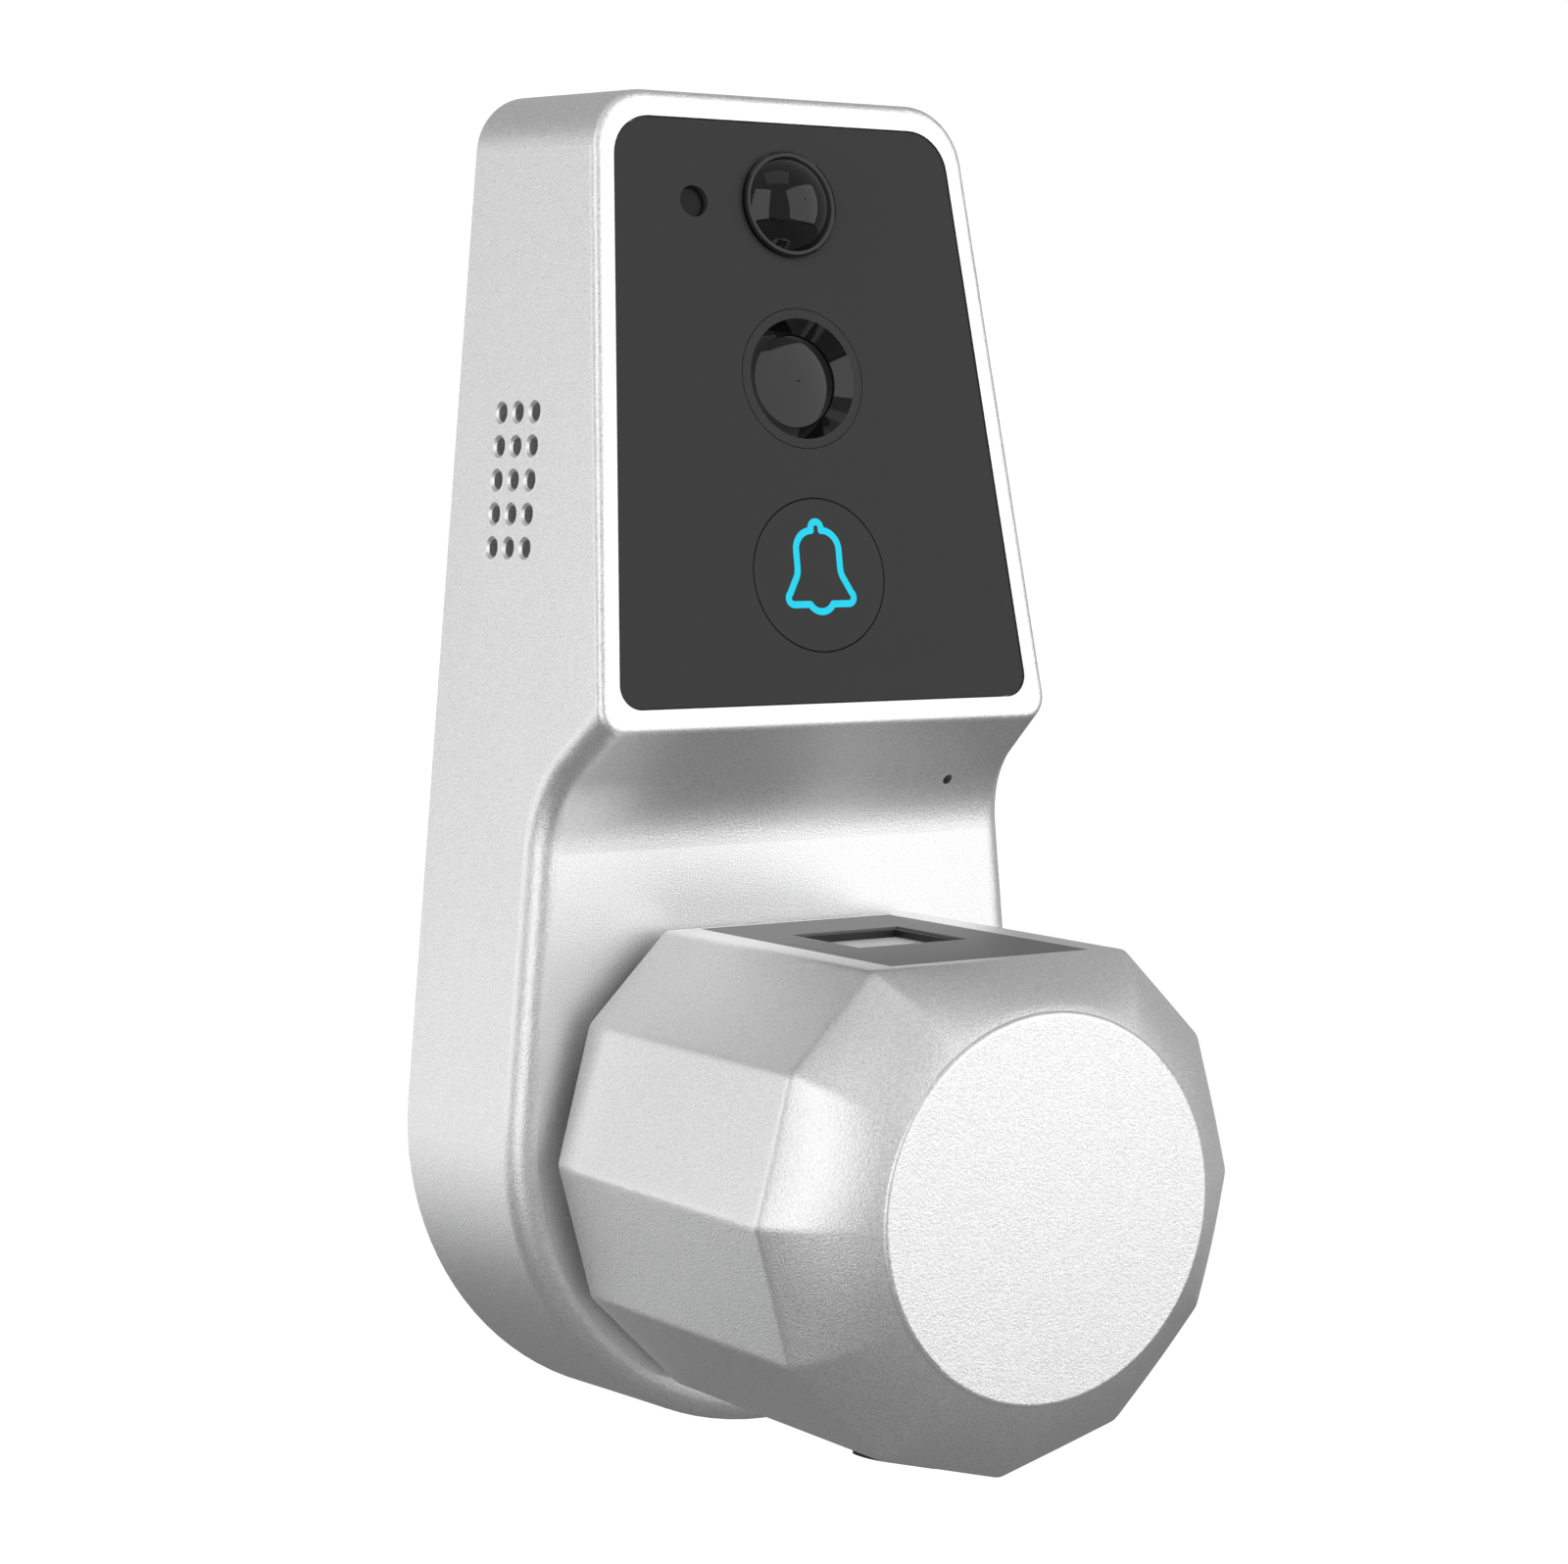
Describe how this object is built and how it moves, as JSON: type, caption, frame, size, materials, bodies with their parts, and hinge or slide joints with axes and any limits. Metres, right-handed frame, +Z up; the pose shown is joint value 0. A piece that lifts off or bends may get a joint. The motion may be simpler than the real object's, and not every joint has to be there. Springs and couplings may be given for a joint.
{
  "type": "video doorbell with fingerprint door knob",
  "caption": "Door unit with a leaning dark camera panel, a lit bell button and, on the lower part, a faceted turning knob with a fingerprint reader.",
  "frame": {"origin": "where the knob's axis meets the door face at the back plate", "axes": "+Y into the door, +Z up, +X to the visitor's right"},
  "size_m": [0.0706, 0.1139, 0.1524],
  "materials": {
    "satin_silver": "fine satin",
    "panel_grey": "matte",
    "icon_cyan": "lit",
    "gloss_black": "gloss",
    "lens_glass": "polished",
    "black_plastic": "matte",
    "light_guide": "frosted",
    "bearing_plastic": "satin",
    "board_green": "solder mask",
    "chip_black": "matte",
    "tin_plate": "tinned",
    "zinc_steel": "zinc plated",
    "bright_steel": "turned",
    "spring_steel": "oiled",
    "reader_grey": "anodised",
    "bezel_black": "satin",
    "sensor_grey": "coated",
    "foam_black": "foam",
    "rubber_black": "matte"
  },
  "bodies": {
    "housing": {"housing_shell": "satin_silver", "back_plate": "zinc_steel", "wall_gasket": "foam_black", "back_plate_screws": "zinc_steel", "fixing_posts": "zinc_steel", "spindle_bearing": "bearing_plastic", "main_board": "board_green", "main_board_screws": "zinc_steel", "board_shield": "tin_plate", "cable_header": "black_plastic", "backup_cell": "black_plastic", "speaker_mesh": "spring_steel", "speaker": "black_plastic", "speaker_gasket": "foam_black", "microphone": "black_plastic", "front_panel": "panel_grey", "panel_carrier": "black_plastic", "front_board": "board_green", "front_board_screws": "zinc_steel", "camera_bezel": "gloss_black", "camera_lens": "lens_glass", "camera_barrel": "black_plastic", "camera_sensor": "chip_black", "camera_board": "board_green", "motion_lens": "gloss_black", "motion_sensor": "tin_plate", "light_sensor": "gloss_black", "bell_switch": "black_plastic", "bell_light_ring": "light_guide", "stop_pins": "bright_steel", "knob_bush": "bearing_plastic", "return_spring": "spring_steel"},
    "button": {"bell_button": "panel_grey", "bell_icon": "icon_cyan"},
    "knob": {"knob_shell": "satin_silver", "knob_end_cap": "satin_silver", "knob_base": "zinc_steel", "knob_base_screws": "zinc_steel", "reader_plate": "reader_grey", "sensor_bezel": "bezel_black", "fingerprint_sensor": "sensor_grey", "reader_board": "board_green", "power_port": "tin_plate", "knob_shaft": "bright_steel", "shaft_flange_screws": "zinc_steel", "shaft_circlip": "bright_steel", "stop_cam": "bright_steel", "clutch_solenoid": "black_plastic"},
    "clutch": {"clutch_pin": "bright_steel"},
    "spindle": {"spindle_hub": "bright_steel", "spindle": "bright_steel"},
    "port_cover": {"port_cover": "rubber_black"}
  },
  "joints": [
    {"name": "bell_press", "type": "slide", "parent": "housing", "child": "button", "axis": [0, 0.9878, -0.1556], "range_m": [0, 0.0005], "stiffness_N_per_m": 2500},
    {"name": "knob_turn", "type": "hinge", "parent": "housing", "child": "knob", "pos_m": [0, 0, 0], "axis": [0, 1, 0], "range_deg": [-60, 60], "stiffness_Nm_per_rad": 0.2},
    {"name": "spindle_turn", "type": "hinge", "parent": "housing", "child": "spindle", "pos_m": [0, 0, 0], "axis": [0, 1, 0], "range_deg": [-60, 60]},
    {"name": "clutch_slide", "type": "slide", "parent": "knob", "child": "clutch", "axis": [0, -1, 0], "range_m": [0, 0.0018], "stiffness_N_per_m": 300},
    {"name": "port_cover_open", "type": "hinge", "parent": "knob", "child": "port_cover", "pos_m": [-0.0025, -0.059, -0.02943], "axis": [0, -1, 0], "range_deg": [0, 85], "stiffness_Nm_per_rad": 0.0005}
  ],
  "couplings": [
    {"joint": "spindle_turn", "follows": "knob_turn", "ratio": 1}
  ]
}
